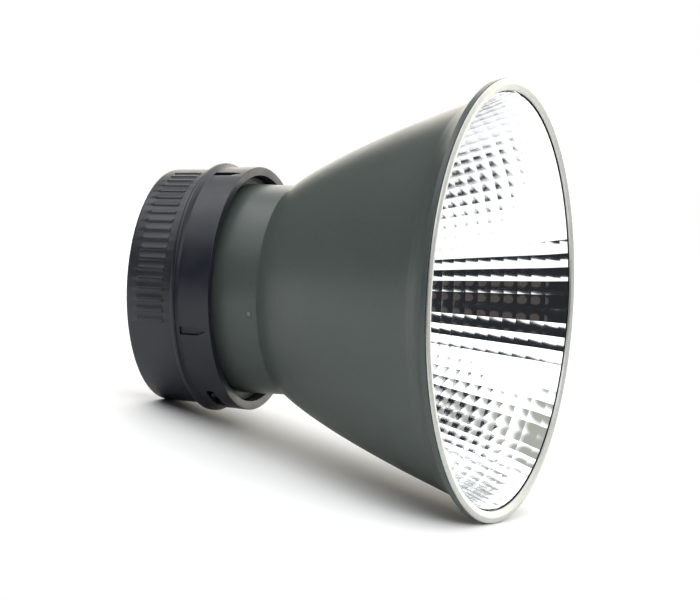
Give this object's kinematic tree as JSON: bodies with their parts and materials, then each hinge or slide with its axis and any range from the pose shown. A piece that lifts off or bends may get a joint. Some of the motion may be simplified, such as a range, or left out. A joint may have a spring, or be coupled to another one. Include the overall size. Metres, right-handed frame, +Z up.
{
  "type": "studio flash reflector",
  "caption": "Round metal studio flash reflector: a flared grey bell with a faceted mirror lining on a black twist-lock collar, lying on its side.",
  "frame": {"origin": "on the floor below the middle of the reflector lying on its side", "axes": "+Z up, optical axis in the XZ plane pointing to +X and tilted up about 16 degrees, +Y across to the far side"},
  "size_m": [0.2088, 0.2096, 0.2014],
  "materials": {
    "shell_paint": "satin dark grey-green paint",
    "bright_mirror": "bright anodised, pillow facets",
    "satin_rim": "pale satin",
    "black_rubber": "matte moulded rubber",
    "ring_plastic": "fine matte moulded plastic",
    "hub_plastic": "matte black glass-filled plastic",
    "plain_steel": "plain zinc-plated steel",
    "dot_white": "pale moulded plug"
  },
  "bodies": {
    "reflector": {"outer_shell": "shell_paint", "mirror_liner": "bright_mirror", "rim_bead": "satin_rim", "mount_hub": "hub_plastic", "clamp_ring": "plain_steel", "flange_screw_1": "plain_steel", "flange_screw_2": "plain_steel", "flange_screw_3": "plain_steel", "flange_screw_4": "plain_steel", "flange_screw_5": "plain_steel", "flange_screw_6": "plain_steel", "rubber_sleeve": "black_rubber", "sleeve_core": "hub_plastic", "sleeve_clip": "plain_steel", "head_gasket": "black_rubber", "stop_screw": "plain_steel", "index_dot": "dot_white", "wave_spring": "plain_steel"},
    "turning_ring": {"lock_ring": "ring_plastic", "bayonet_lug_1": "plain_steel", "bayonet_lug_2": "plain_steel", "bayonet_lug_3": "plain_steel", "bayonet_lug_4": "plain_steel"}
  },
  "joints": [
    {"name": "lock_turn", "type": "hinge", "parent": "reflector", "child": "turning_ring", "pos_m": [-0.05631, 0, 0.06265], "axis": [-0.9593, 0, -0.2824], "range_deg": [-4, 8]}
  ]
}
